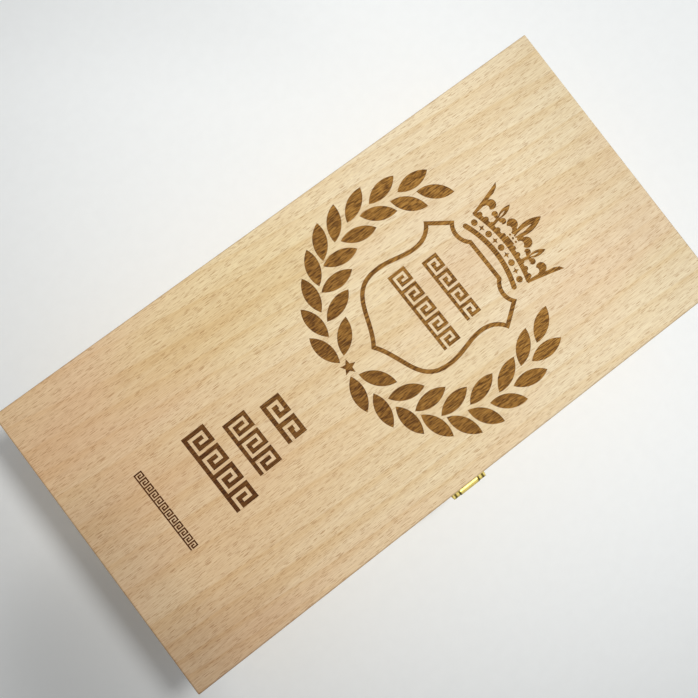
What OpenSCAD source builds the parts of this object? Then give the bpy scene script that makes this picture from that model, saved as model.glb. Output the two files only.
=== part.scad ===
// Wine box of beech for two bottles: a finger-jointed case sawn into box and lid, two brass
// butt hinges on the back, a swing clasp on the front and a crest engraved in the lid.
// Millimetres. X runs along the box, -Y is the front with the clasp, +Z is up.
// The origin is the middle of the underside.

/* [Box] */
// Length over the end walls
box_l = 360; // [330:5:420]
// Depth over the front and back walls
box_w = 180; // [170:5:220]
// Height of the closed box
box_h = 100; // [96:2:130]
// Height of the lid with its panel
lid_h = 25; // [22:1:28]
// Thickness of the beech walls and lid rails
wall_t = 9; // [8:0.5:12]
// Thickness of the plywood base and lid panels
panel_t = 4; // [3:0.5:5]

/* [Finger joints] */
// Fingers up each corner of the box
box_fingers = 7; // [3:2:9]
// Fingers up each corner of the lid
lid_fingers = 2; // [2:1:4]

/* [Bottle racks] */
// Diameter of the bottles that the box is made for
bottle_d = 76; // [70:1:80]
// Diameter of their necks
neck_d = 30; // [27:1:33]
// Play between a bottle and its notch
bottle_play = 0.8; // [0.4:0.2:2]
// Wood left under a bottle in its notch
rack_floor = 4; // [3:0.5:6]
// Height of the rest under the bottles' bodies
bottle_rest_h = 24; // [18:1:28]
// Distance from the middle of the box to the bottle rest
bottle_rest_x = 95; // [70:5:120]
// Distance from the middle of the box to the neck rest
neck_rest_x = 95; // [70:5:130]
// Thickness of the two rests
rest_t = 9; // [6:0.5:12]
// Thickness of the divider between the bottles
divider_t = 6; // [5:0.5:8]
// Distance from the rim down to the divider
divider_drop = 5; // [2:1:10]
// Depth of the divider's grooves in the end walls
groove_depth = 3; // [2:0.5:4]
// Play of a board in its groove or lap
joint_play = 0.1; // [0.05:0.05:0.3]

/* [Hinges] */
// Length of a hinge along the back
hinge_l = 25; // [22:1:32]
// Distance from the middle of the box to the middle of a hinge
hinge_x = 110; // [80:5:130]
// Width of a leaf, from the pin's axis to its free edge
leaf_w = 12; // [10:0.5:14]
// Thickness of the leaves
leaf_t = 0.9; // [0.7:0.1:1.2]
// Outer diameter of the hinge knuckles
hinge_knuckle_d = 3.6; // [3.2:0.1:4.4]
// Length of the lid leaf's knuckle, between the two of the box leaf
lid_knuckle_l = 9; // [7:0.5:11]
// Diameter of the hinge pins
hinge_pin_d = 1.8; // [1.4:0.1:2]
// Distance from a hinge's middle to its screws
hinge_screw_x = 8; // [7:0.5:8.5]
// Distance from the pin's axis to the hinge screws
hinge_screw_h = 7.5; // [6:0.5:8]

/* [Clasp] */
// Width of the clasp plate and the catch plate
clasp_w = 22; // [20:0.5:26]
// Thickness of both plates
clasp_t = 0.8; // [0.6:0.1:1]
// Height of the clasp's pin over the rim
clasp_pin_up = 11; // [10:0.5:12]
// Height of the clasp plate over its pin
clasp_plate_h = 9; // [8:0.5:10]
// Height of the clasp screws over the pin
clasp_screw_h = 5.8; // [5:0.2:6]
// Outer diameter of the clasp plate's two knuckles
clasp_knuckle_d = 4; // [3.6:0.1:4.4]
// Diameter of the clasp's pin
clasp_pin_d = 1.5; // [1.2:0.1:1.8]
// Width of the hasp
hasp_w = 13; // [11:0.5:14]
// Thickness of the hasp
hasp_t = 0.9; // [0.7:0.1:1.2]
// Length of the hasp below its pin
hasp_l = 20; // [19:0.5:22]
// Outer diameter of the hasp's knuckle
hasp_knuckle_d = 4.4; // [4:0.1:4.8]
// Inside radius of the curl at the hasp's lower edge
curl_r = 1.1; // [0.8:0.1:1.4]
// Distance from the clasp's pin down to the catch's nose
catch_reach = 15.5; // [15:0.25:16]
// Height of the catch plate
catch_h = 11; // [9:0.5:13]
// Distance from the rim down to the catch plate
catch_drop = 1.5; // [0.5:0.25:2]
// Length of the catch's nose
nose_l = 6; // [5:0.25:7]
// Distance that the nose stands out from its plate
nose_out = 1.5; // [1.2:0.1:1.8]
// Play around the nose in the hasp's window
nose_play = 0.6; // [0.4:0.1:1]
// Distance from a plate's end to its screws
plate_screw_in = 3; // [2.5:0.25:3.5]

/* [Screws] */
// Diameter of the screw shanks
screw_d = 2; // [1.6:0.1:2.2]
// Diameter of the countersunk heads
screw_head_d = 3.6; // [3:0.1:4]
// Length of the screws
screw_l = 8; // [6:0.5:8.5]

/* [Clearances] */
// Play between a pin and its bore, on the radius
pin_play = 0.05; // [0.03:0.01:0.09]
// Play around a screw, on the radius
screw_play = 0.05; // [0.02:0.01:0.1]
// Gap between moving pieces of brass, and from knuckles to the wood
brass_gap = 0.3; // [0.3:0.05:0.6]
// Gap between the latched hasp and the catch plate
hasp_gap = 0.2; // [0.2:0.05:0.4]

/* [Engraving] */
// Width of the wreath, which sets the scale of all that is engraved
wreath_w = 150; // [110:1:160]
// Depth of the engraving
engraving_depth = 0.4; // [0.2:0.1:1]
// Distance of the crest's foot from the middle of the lid, along the box
crest_x = 0; // [-6:0.5:12]
// Distance of the crest's axis from the middle of the lid, towards the front
crest_front = 0.8; // [-4:0.2:4]
// Turn of the engraving on the lid, in degrees
engraving_turn = 1.2; // [-2:0.1:2]

/* [Hidden] */
$fn = 72;

BEECH = "burlywood";
PLYWOOD = "wheat";
BRASS = "goldenrod";

// How far a cutter runs past the face that it cuts
cut = 1;

// Heights
rim_z = box_h - lid_h;
panel_z = box_h - panel_t;
divider_z = rim_z - divider_drop;
bottle_z = panel_t + rack_floor + bottle_d / 2;
bottle_rest_z = panel_t + bottle_rest_h;
neck_rest_z = bottle_z;
clasp_pin_z = rim_z + clasp_pin_up;
nose_z = clasp_pin_z - catch_reach;

// Places across the box
inner_w = box_w - 2 * wall_t;
inner_l = box_l - 2 * wall_t;
bay_y = (inner_w + divider_t) / 4;

// Hinge and clasp: distance of each pin's axis from the wood, and lengths of the knuckles
hinge_axis_d = brass_gap + hinge_knuckle_d / 2;
clasp_axis_d = brass_gap + hasp_knuckle_d / 2;
box_knuckle_l = (hinge_l - lid_knuckle_l) / 2 - brass_gap;
clasp_knuckle_l = (clasp_w - hasp_w) / 2 - brass_gap;

// The hasp hangs free of the nose: its back is this far from the wood when latched,
// and it stands off from that by this angle
hasp_back_d = clasp_t + hasp_gap;
hasp_hang = atan((clasp_t + nose_out + nose_play - hasp_back_d) / catch_reach);

// Small trim of the brass
corner_r = 1.5;
hasp_corner_r = 3;
leaf_curl = 1;
pin_head_h = 0.5;
pin_head_edge = 0.4;
screw_cross_l = 2;
screw_cross_w = 0.5;
screw_cross_depth = 0.4;

// ---------------------------------------------------------------- shapes that repeat

// A block from its lowest to its highest corner
module block(low, high) {
    translate(low) cube(high - low);
}

// Notches in both ends of a board along x, where the boards at right angles show their fingers.
// The fingers are counted from the foot of the box up; those of one parity are notched.
module finger_notches(foot, height, count, first, parity, length, depth_from, depth_to) {
    step = height / count;
    for (i = [0 : count - 1])
        if ((first + i) % 2 == parity)
            for (end = [0, 1])
                mirror([end, 0, 0])
                    block([length / 2 - wall_t, depth_from - cut, foot + i * step - (i == 0 ? cut : 0)],
                        [length / 2 + cut, depth_to + cut,
                            foot + (i + 1) * step + (i == count - 1 ? cut : 0)]);
}

// A board along x with its outer face at y = -half_w, notched for the boards across it
module long_board(foot, height, count, first) {
    outer = -box_w / 2;
    difference() {
        block([-box_l / 2, outer, foot], [box_l / 2, outer + wall_t, foot + height]);
        finger_notches(foot, height, count, first, 1, box_l, outer, outer + wall_t);
    }
}

// A board across the box with its outer face at the left end, notched for the long boards
module end_board(foot, height, count, first) {
    outer = -box_l / 2;
    rotate(90)
        difference() {
            block([-box_w / 2, -outer - wall_t, foot], [box_w / 2, -outer, foot + height]);
            finger_notches(foot, height, count, first, 0, box_w, -outer - wall_t, -outer);
        }
}

// The groove that takes one end of the divider, in the left end wall
module divider_groove() {
    half = divider_t / 2 + joint_play;
    block([-box_l / 2 + wall_t - groove_depth, -half, panel_t - cut],
        [-box_l / 2 + wall_t + cut, half, rim_z + cut]);
}

// A rest across the box with a round notch in each bay and a slot that laps the divider
module rest_board(x, top, notch_d) {
    half = divider_t / 2 + joint_play;
    lap_z = (panel_t + top) / 2;
    difference() {
        block([x - rest_t / 2, -inner_w / 2, panel_t], [x + rest_t / 2, inner_w / 2, top]);
        for (y = [-bay_y, bay_y])
            translate([x, y, bottle_z])
                rotate([0, 90, 0])
                    cylinder(h = rest_t + 2 * cut, d = notch_d + 2 * bottle_play, center = true);
        block([x - rest_t / 2 - cut, -half, lap_z], [x + rest_t / 2 + cut, half, top + cut]);
    }
}

// Takes a shape drawn on the back, y out of the wood and z up, to the back or to the front
module on_back() {
    translate([0, box_w / 2, 0]) children();
}
module on_front() {
    mirror([0, 1, 0]) on_back() children();
}

// Draws a profile along x: its first axis points out of the wood, its second one up
module along_x(x, length) {
    translate([x, 0, 0])
        rotate([90, 0, 90])
            linear_extrude(length, center = true)
                children();
}

// Turns a shape on the z axis so that +z points out of the wood, at x and z
module facing_out(x, z, out) {
    translate([x, out, z]) rotate([-90, 0, 0]) children();
}

// Curled edge of a sheet, seen along its pin: the knuckle and the web down to the wood.
// up is 1 for a sheet above its pin and -1 for one below.
module knuckle_profile(axis_d, knuckle_d, sheet_t, pin_d, up) {
    web_h = knuckle_d / 2 + leaf_curl;
    difference() {
        union() {
            translate([axis_d, 0]) circle(d = knuckle_d);
            polygon([[0, 0], [axis_d, 0], [axis_d, up * knuckle_d / 2], [sheet_t, up * web_h],
                [0, up * web_h]]);
        }
        translate([axis_d, 0]) circle(r = pin_d / 2 + pin_play);
    }
}

// A flat rectangle on the plane y = 0 with its upper or lower two corners rounded
module sheet(width, low, high, thickness, up) {
    round_z = up > 0 ? high - corner_r : low + corner_r;
    rotate([90, 0, 0])
        translate([0, 0, -thickness])
            linear_extrude(thickness)
                union() {
                    translate([-width / 2, up > 0 ? low : round_z])
                        square([width, high - low - corner_r]);
                    translate([corner_r - width / 2, low])
                        square([width - 2 * corner_r, high - low]);
                    for (side = [-1, 1])
                        translate([side * (width / 2 - corner_r), round_z])
                            circle(corner_r);
                }
}

// A countersunk screw, its flat top at z = 0 and its shank along -z
module screw() {
    head_h = (screw_head_d - screw_d) / 2;
    tip_l = screw_d;
    difference() {
        union() {
            translate([0, 0, -head_h]) cylinder(h = head_h, d1 = screw_d, d2 = screw_head_d);
            translate([0, 0, tip_l - screw_l]) cylinder(h = screw_l - tip_l - head_h, d = screw_d);
            translate([0, 0, -screw_l]) cylinder(h = tip_l, d1 = screw_d / 4, d2 = screw_d);
        }
        for (turn = [0, 90])
            rotate(turn)
                block([-screw_cross_l / 2, -screw_cross_w / 2, -screw_cross_depth],
                    [screw_cross_l / 2, screw_cross_w / 2, cut]);
    }
}

// The room that a screw takes in the sheet and in the wood
module screw_room() {
    head_h = (screw_head_d - screw_d) / 2;
    translate([0, 0, -head_h])
        cylinder(h = head_h, r1 = screw_d / 2 + screw_play, r2 = screw_head_d / 2 + screw_play);
    cylinder(h = cut, r = screw_head_d / 2 + screw_play);
    translate([0, 0, -screw_l - screw_play])
        cylinder(h = screw_l, r = screw_d / 2 + screw_play);
}

// A pin along x with a low head at each end
module headed_pin(x, out, z, length, diameter) {
    translate([x, out, z])
        rotate([0, 90, 0]) {
            cylinder(h = length, d = diameter, center = true);
            for (end = [0, 1])
                mirror([0, 0, end])
                    translate([0, 0, length / 2])
                        cylinder(h = pin_head_h, r = diameter / 2 + pin_head_edge);
        }
}

// Screw places: x along the box and height
function hinge_screw_places(up) =
    [for (side = [-1, 1], along = [-1, 1])
        [side * hinge_x + along * hinge_screw_x, rim_z + up * hinge_screw_h]];
clasp_screw_places =
    [for (side = [-1, 1]) [side * (clasp_w / 2 - plate_screw_in), clasp_pin_z + clasp_screw_h]];
catch_screw_places =
    [for (side = [-1, 1])
        [side * (clasp_w / 2 - plate_screw_in), rim_z - catch_drop - catch_h + plate_screw_in]];

// Screws, or their room, at each of the places, with the heads flush with a sheet
module screws(places, sheet_t) {
    for (place = places) facing_out(place.x, place.y, sheet_t) screw();
}
module screw_rooms(places, sheet_t) {
    for (place = places) facing_out(place.x, place.y, sheet_t) screw_room();
}

// ---------------------------------------------------------------- the engraving
// Drawn upright: x to the right of the crest's axis, y up from the shield's lowest point.
// It is drawn for a wreath of this width and scaled from that.
drawn_wreath_w = 150;

// Leaves of the right branch, from the star up: right, up, lean. The left branch mirrors them.
OUTER_LEAVES = [[15, -20, 167], [30, -15, 172], [43, -7, 8], [54.5, 3, 19], [63.5, 15, 29],
    [67, 27.5, 36], [68.5, 42.5, 58], [66, 60, 78], [59.5, 77, 90]];
INNER_LEAVES = [[14.5, -6.5, 41], [30, 1, 71], [41, 9, 90], [50, 18.5, 100], [54, 34.5, 106],
    [56.5, 50.5, 119], [50.5, 67.5, 134], [47, 83.5, 127]];
leaf_long = 21.4;
leaf_wide = 8.3;

// Key bands: height of the middle, length, height, number of keys
KEY_BANDS = [[57, 40.5, 10, 4], [37.5, 50.5, 11.5, 5], [-60, 25.5, 12.5, 2], [-81, 33.5, 14.5, 3],
    [-102.5, 48.5, 14.5, 4], [-138, 49.5, 5, 12]];
// Share of a key's pitch that is left bare
key_bare = 0.42;

// The shield's right half: ends of its straight top, notch and shoulder, and its curves
shield_line = 2.5;
shield_top = [13.5, 82.3];
shield_peak = [27.8, 81.6];
shield_notch = 3.4;
shield_shoulder = [37.9, 67.6];
shield_waist = [30.2, 54];
shield_hip = [33.9, 30];
shield_foot = [0, 0.6];

function unit(v) = v / norm(v);
function right_of(v) = [v.y, -v.x];

// The crown's lowest bar: centre, radius, thickness and half its angle
crown_bar_y = 31.2;
crown_bar_r = 57.6;
crown_bar_w = 3;
crown_bar_half_angle = 22;
// Row of round stones and four-pointed stars: this many on each side of the middle one
crown_stones = 4;
stone_pitch = 4.4;
stone_row_y = 26.6;
stone_row_r = 66.3;
stone_r = 1.9;
stone_star_r = 2.1;
stone_star_waist = 0.8;
// Wavy band: an arc with this many waves on each side of the middle one
wavy_band_y = 19.3;
wavy_band_r = 77.8;
wavy_band_w = 2.8;
wavy_band_half_angle = 18.2;
crown_waves = 5;
wave_pitch = 3.2;
wave_rise = 1.2;
wave_r = 1.5;
// Collar and studs under the middle lily
collar_w = 6;
collar_h = 2.1;
collar_y = 98;
stud_pitch = 2.6;
stud_y = 101.5;
stud_r = 0.65;
// Five-pointed star under the wreath
star_y = -15.3;
star_r = 4.7;
star_waist = 2.1;

// Points of a cubic curve from p to s, without the last
function curve(p, q, r, s, steps = 10) =
    [for (i = [0 : steps - 1])
        let (t = i / steps, u = 1 - t)
        u * u * u * p + 3 * u * u * t * q + 3 * u * t * t * r + t * t * t * s];

// Points of an arc from p to q that sags by sag to the right of the way, without the last
function sagging_arc(p, q, sag, steps = 8) =
    let (
        half = norm(q - p) / 2,
        radius = (half * half + sag * sag) / (2 * sag),
        across = right_of(unit(q - p)),
        centre = (p + q) / 2 - (radius - sag) * across,
        sweep = asin(half / radius))
    [for (i = [0 : steps - 1])
        let (a = sweep * (2 * i / steps - 1))
        centre + radius * (cos(a) * across + sin(a) * unit(q - p))];

// A closed outline, run clockwise, moved in by d
function inset(points, d) =
    let (n = len(points))
    [for (i = [0 : n - 1])
        let (
            before = unit(points[i] - points[(i + n - 1) % n]),
            after = unit(points[(i + 1) % n] - points[i]),
            side = right_of(before) + right_of(after))
        points[i] + 2 * d * side / (side * side)];

shield_right = concat(
    sagging_arc(shield_top, shield_peak, shield_notch),
    [shield_peak],
    curve(shield_shoulder, [33, 65], [30.2, 60.5], shield_waist, 8),
    curve(shield_waist, [30.2, 46], [33.9, 40], shield_hip, 8),
    curve(shield_hip, [33.9, 8], [13, 11], shield_foot, 14));
shield_outline = concat(
    shield_right,
    [shield_foot],
    [for (i = [len(shield_right) - 1 : -1 : 0]) [-shield_right[i].x, shield_right[i].y]]);

// A pointed leaf along x
module leaf_2d(length, width) {
    radius = (length * length + width * width) / (4 * width);
    intersection() {
        translate([0, radius - width / 2]) circle(radius);
        translate([0, width / 2 - radius]) circle(radius);
    }
}

module wreath_2d() {
    for (flip = [0, 1])
        mirror([flip, 0])
            for (leaf = concat(OUTER_LEAVES, INNER_LEAVES))
                translate([leaf[0], leaf[1]])
                    rotate(leaf[2])
                        leaf_2d(leaf_long, leaf_wide);
}

// A star with its first point up
module star_2d(points, outer_r, inner_r) {
    polygon([for (i = [0 : 2 * points - 1])
        (i % 2 == 0 ? outer_r : inner_r) * [sin(180 * i / points), cos(180 * i / points)]]);
}

module shield_2d() {
    difference() {
        polygon(shield_outline);
        polygon(inset(shield_outline, shield_line));
    }
}

// Points of an arc around a centre: angles run clockwise from straight up
function arc(centre, radius, from, to, steps) =
    [for (i = [0 : steps])
        let (a = from + (to - from) * i / steps)
        centre + radius * [sin(a), cos(a)]];

// A bar along an arc around the origin, its middle straight up, with round or square ends
module arc_bar_2d(radius, width, half_angle, round_ends) {
    outer = arc([0, 0], radius + width / 2, -half_angle, half_angle, 18);
    inner = arc([0, 0], radius - width / 2, half_angle, -half_angle, 18);
    middle = arc([0, 0], radius, -half_angle, half_angle, 1);
    caps = [for (end = [0, 1]) [for (i = [1 : 7])
        let (a = (end == 1 ? half_angle : 180 - half_angle) + 180 * i / 8)
        middle[end] + width / 2 * [sin(a), cos(a)]]];
    polygon(round_ends ? concat(outer, caps[1], inner, caps[0]) : concat(outer, inner));
}

// A lily: a slit petal with a curl on each side, its foot at the origin and its tip at height
module lily_2d(height, petal_l, petal_w, slit_l, slit_w, curl, curl_r, bite, bite_r) {
    difference() {
        union() {
            translate([0, height - petal_l / 2]) rotate(90) leaf_2d(petal_l, petal_w);
            for (side = [-1, 1]) {
                translate([side * curl.x, curl.y]) circle(curl_r);
                translate([side * curl.x / 2, curl.y - curl_r / 2]) circle(curl_r * 0.7);
            }
        }
        translate([0, height - petal_l * 0.65]) rotate(90) leaf_2d(slit_l, slit_w);
        for (side = [-1, 1])
            translate([side * bite.x, bite.y]) circle(bite_r);
        translate([-petal_w, -height]) square([2 * petal_w, height]);
    }
}

module crown_2d() {
    // Lowest bar, the row of stones and the wavy band above it
    translate([0, crown_bar_y])
        arc_bar_2d(crown_bar_r, crown_bar_w, crown_bar_half_angle, true);
    for (i = [-crown_stones : crown_stones])
        translate([0, stone_row_y])
            rotate(stone_pitch * i)
                translate([0, stone_row_r])
                    if (i % 2 == 0) circle(stone_r);
                    else star_2d(4, stone_star_r, stone_star_waist);
    translate([0, wavy_band_y]) {
        arc_bar_2d(wavy_band_r, wavy_band_w, wavy_band_half_angle, false);
        for (i = [-crown_waves : crown_waves])
            rotate(wave_pitch * i) translate([0, wavy_band_r + wave_rise]) circle(wave_r);
    }
    // Collar with three studs under the middle lily
    translate([-collar_w / 2, collar_y]) square([collar_w, collar_h]);
    for (i = [-1 : 1])
        translate([stud_pitch * i, stud_y]) circle(stud_r);
    translate([0, 102.8])
        lily_2d(19.3, 20.5, 6.7, 12.5, 1.6, [6.5, 3.5], 3.2, [5.3, -0.2], 2.1);
    for (flip = [0, 1])
        mirror([flip, 0]) {
            // Small lily, leaning out on its stem
            translate([12.9, 98.2])
                rotate(-12) {
                    translate([-0.9, -1.5]) square([1.8, 5]);
                    translate([-2.6, 2.9]) square([5.2, 1.1]);
                    translate([0, 3.2])
                        lily_2d(11.2, 11.2, 3.5, 5.4, 0.9, [3, 1.3], 1.85, [2.3, -0.9], 1);
                }
            // Outer spike with its foot and its curl
            polygon([[30.7, 114], [27.9, 104.2], [25, 93.4], [23.4, 93.6], [24.2, 100.5],
                [26, 106], [26.5, 109], [28.2, 112.3]]);
            translate([24.4, 92.9]) circle(0.7);
            difference() {
                union() {
                    translate([22.4, 103.8]) circle(3);
                    translate([24.8, 101.2]) circle(1.4);
                }
                translate([22.1, 100.2]) circle(1.8);
            }
        }
}

// A running key: hooks that rise from one rail, from x = 0 on
module key_band_2d(length, height, count) {
    pitch = length / (count - key_bare / 3);
    line = pitch * (1 - key_bare) / 3;
    gap = pitch * key_bare / 3;
    step = line + gap;
    polygon(concat(
        [[0, 0], [length, 0], [length, line]],
        [for (i = [count - 1 : -1 : 0])
            let (x = i * pitch)
            each [[x + line, line], [x + line, height - line], [x + 2 * step, height - line],
                [x + 2 * step, step + line], [x + step + line, step + line],
                [x + step + line, height - step], [x + step, height - step], [x + step, step],
                [x + 2 * step + line, step], [x + 2 * step + line, height], [x, height],
                [x, i == 0 ? height / 2 : line]]]));
}

module key_bands_2d() {
    for (band = KEY_BANDS)
        translate([-band[1] / 2, band[0] - band[2] / 2])
            key_band_2d(band[1], band[2], band[3]);
}

// All that is engraved, placed on the lid: up the crest is +x, and its right is the front
module engraving_2d() {
    translate([crest_x, -crest_front])
        rotate(engraving_turn - 90)
            scale(wreath_w / drawn_wreath_w) {
                wreath_2d();
                translate([0, star_y]) star_2d(5, star_r, star_waist);
                shield_2d();
                crown_2d();
                key_bands_2d();
            }
}

// ---------------------------------------------------------------- the box

module base_panel() {
    color(PLYWOOD)
        block([-box_l / 2, -box_w / 2, 0], [box_l / 2, box_w / 2, panel_t]);
}

module front_wall() {
    color(BEECH)
        difference() {
            long_board(panel_t, rim_z - panel_t, box_fingers, 0);
            on_front() screw_rooms(catch_screw_places, clasp_t);
        }
}

module back_wall() {
    color(BEECH)
        difference() {
            mirror([0, 1, 0]) long_board(panel_t, rim_z - panel_t, box_fingers, 0);
            on_back() screw_rooms(hinge_screw_places(-1), leaf_t);
        }
}

module left_end_wall() {
    color(BEECH)
        difference() {
            end_board(panel_t, rim_z - panel_t, box_fingers, 0);
            divider_groove();
        }
}

module right_end_wall() {
    color(BEECH)
        mirror([1, 0, 0])
            difference() {
                end_board(panel_t, rim_z - panel_t, box_fingers, 0);
                divider_groove();
            }
}

module divider() {
    half_l = inner_l / 2 + groove_depth - joint_play;
    half_slot = rest_t / 2 + joint_play;
    color(BEECH)
        difference() {
            block([-half_l, -divider_t / 2, panel_t], [half_l, divider_t / 2, divider_z]);
            for (rest = [[-bottle_rest_x, bottle_rest_z], [neck_rest_x, neck_rest_z]])
                block([rest[0] - half_slot, -divider_t / 2 - cut, panel_t - cut],
                    [rest[0] + half_slot, divider_t / 2 + cut, (panel_t + rest[1]) / 2]);
        }
}

module bottle_rest() {
    color(BEECH) rest_board(-bottle_rest_x, bottle_rest_z, bottle_d);
}

module neck_rest() {
    color(BEECH) rest_board(neck_rest_x, neck_rest_z, neck_d);
}

// ---------------------------------------------------------------- the lid

module lid_panel() {
    color(PLYWOOD)
        difference() {
            block([-box_l / 2, -box_w / 2, panel_z], [box_l / 2, box_w / 2, box_h]);
            translate([0, 0, box_h - engraving_depth])
                linear_extrude(engraving_depth + cut)
                    engraving_2d();
        }
}

module lid_front_rail() {
    color(BEECH)
        difference() {
            long_board(rim_z, panel_z - rim_z, lid_fingers, box_fingers);
            on_front() screw_rooms(clasp_screw_places, clasp_t);
        }
}

module lid_back_rail() {
    color(BEECH)
        difference() {
            mirror([0, 1, 0]) long_board(rim_z, panel_z - rim_z, lid_fingers, box_fingers);
            on_back() screw_rooms(hinge_screw_places(1), leaf_t);
        }
}

module lid_left_rail() {
    color(BEECH) end_board(rim_z, panel_z - rim_z, lid_fingers, box_fingers);
}

module lid_right_rail() {
    color(BEECH)
        mirror([1, 0, 0])
            end_board(rim_z, panel_z - rim_z, lid_fingers, box_fingers);
}

// ---------------------------------------------------------------- the hinges

// A leaf on the back, around x: up is 1 for the lid's and -1 for the box's.
// knuckles holds the middle and the length of each of its knuckles.
module hinge_leaf(x, up, knuckles) {
    near = hinge_knuckle_d / 2 + brass_gap;
    color(BRASS)
        on_back()
            difference() {
                union() {
                    translate([x, 0, rim_z])
                        if (up > 0) sheet(hinge_l, near, leaf_w, leaf_t, up);
                        else sheet(hinge_l, -leaf_w, -near, leaf_t, up);
                    for (knuckle = knuckles)
                        translate([0, 0, rim_z])
                            along_x(x + knuckle[0], knuckle[1])
                                knuckle_profile(hinge_axis_d, hinge_knuckle_d, leaf_t,
                                    hinge_pin_d, up);
                }
                screw_rooms(hinge_screw_places(up), leaf_t);
            }
}

module hinge_box_leaf(x) {
    off = (hinge_l - box_knuckle_l) / 2;
    hinge_leaf(x, -1, [[-off, box_knuckle_l], [off, box_knuckle_l]]);
}

module hinge_lid_leaf(x) {
    hinge_leaf(x, 1, [[0, lid_knuckle_l]]);
}

module hinge_left_box_leaf() {
    hinge_box_leaf(-hinge_x);
}

module hinge_right_box_leaf() {
    hinge_box_leaf(hinge_x);
}

module hinge_left_lid_leaf() {
    hinge_lid_leaf(-hinge_x);
}

module hinge_right_lid_leaf() {
    hinge_lid_leaf(hinge_x);
}

module hinge_left_pin() {
    color(BRASS) on_back() headed_pin(-hinge_x, hinge_axis_d, rim_z, hinge_l, hinge_pin_d);
}

module hinge_right_pin() {
    color(BRASS) on_back() headed_pin(hinge_x, hinge_axis_d, rim_z, hinge_l, hinge_pin_d);
}

module hinge_box_screws() {
    color(BRASS) on_back() screws(hinge_screw_places(-1), leaf_t);
}

module hinge_lid_screws() {
    color(BRASS) on_back() screws(hinge_screw_places(1), leaf_t);
}

// ---------------------------------------------------------------- the clasp

module clasp_plate() {
    near = hasp_knuckle_d / 2 + brass_gap;
    off = (clasp_w - clasp_knuckle_l) / 2;
    color(BRASS)
        on_front()
            difference() {
                union() {
                    translate([0, 0, clasp_pin_z]) {
                        sheet(clasp_w, near, clasp_plate_h, clasp_t, 1);
                        for (side = [-1, 1])
                            along_x(side * off, clasp_knuckle_l)
                                knuckle_profile(clasp_axis_d, clasp_knuckle_d, clasp_t,
                                    clasp_pin_d, 1);
                    }
                }
                screw_rooms(clasp_screw_places, clasp_t);
            }
}

module clasp_pin() {
    color(BRASS) on_front() headed_pin(0, clasp_axis_d, clasp_pin_z, clasp_w, clasp_pin_d);
}

module clasp_screws() {
    color(BRASS) on_front() screws(clasp_screw_places, clasp_t);
}

// Side of the latched hasp, around its pin's axis: knuckle, flat and curl
module hasp_profile() {
    back = hasp_back_d - clasp_axis_d;
    curl_z = curl_r + hasp_t - hasp_l;
    flat_top = -(clasp_pin_d / 2 + pin_play) - leaf_curl / 2;
    circle(d = hasp_knuckle_d);
    translate([back, curl_z]) square([hasp_t, flat_top - curl_z]);
    translate([back + hasp_t + curl_r, curl_z])
        intersection() {
            difference() {
                circle(curl_r + hasp_t);
                circle(curl_r);
            }
            translate(-[1, 1] * (curl_r + hasp_t)) square(curl_r + hasp_t);
        }
}

// Front of the hasp: its rounded outline with the window for the nose
module hasp_front() {
    top = hasp_knuckle_d;
    window_h = 2 * (nose_out + nose_play);
    window_l = nose_l + 2 * nose_play;
    difference() {
        union() {
            translate([-hasp_w / 2, hasp_corner_r - hasp_l])
                square([hasp_w, hasp_l - hasp_corner_r + top]);
            translate([hasp_corner_r - hasp_w / 2, -hasp_l])
                square([hasp_w - 2 * hasp_corner_r, hasp_l]);
            for (side = [-1, 1])
                translate([side * (hasp_w / 2 - hasp_corner_r), hasp_corner_r - hasp_l])
                    circle(hasp_corner_r);
        }
        translate([-window_l / 2, -catch_reach - window_h / 2]) square([window_l, window_h]);
    }
}

module hasp() {
    color(BRASS)
        on_front()
            translate([0, clasp_axis_d, clasp_pin_z])
                rotate([hasp_hang, 0, 0])
                    difference() {
                        intersection() {
                            along_x(0, hasp_w) hasp_profile();
                            rotate([90, 0, 0])
                                linear_extrude(2 * hasp_l, center = true)
                                    hasp_front();
                        }
                        rotate([0, 90, 0])
                            cylinder(h = hasp_w + 2 * cut, r = clasp_pin_d / 2 + pin_play,
                                center = true);
                    }
}

module catch_plate() {
    top = rim_z - catch_drop;
    color(BRASS)
        on_front() {
            difference() {
                sheet(clasp_w, top - catch_h, top, clasp_t, -1);
                screw_rooms(catch_screw_places, clasp_t);
            }
            translate([0, 0, nose_z])
                along_x(0, nose_l)
                    intersection() {
                        translate([clasp_t, 0]) circle(nose_out);
                        translate([clasp_t / 2, -nose_out]) square([2 * nose_out, 2 * nose_out]);
                    }
        }
}

module catch_screws() {
    color(BRASS) on_front() screws(catch_screw_places, clasp_t);
}

// ---------------------------------------------------------------- what is shown

base_panel();
front_wall();
back_wall();
left_end_wall();
right_end_wall();
divider();
bottle_rest();
neck_rest();
lid_panel();
lid_front_rail();
lid_back_rail();
lid_left_rail();
lid_right_rail();
hinge_left_box_leaf();
hinge_right_box_leaf();
hinge_left_lid_leaf();
hinge_right_lid_leaf();
hinge_left_pin();
hinge_right_pin();
hinge_box_screws();
hinge_lid_screws();
clasp_plate();
clasp_pin();
clasp_screws();
hasp();
catch_plate();
catch_screws();
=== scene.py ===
"""Looks of a beech wine box: eased boards, an engraved plywood lid, brass hinges, clasp and screws.

Metres. X runs along the box, -Y is the front with the clasp, +Z is up.
"""

import math

import bmesh
import bpy
from mathutils import Matrix, Vector


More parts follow.
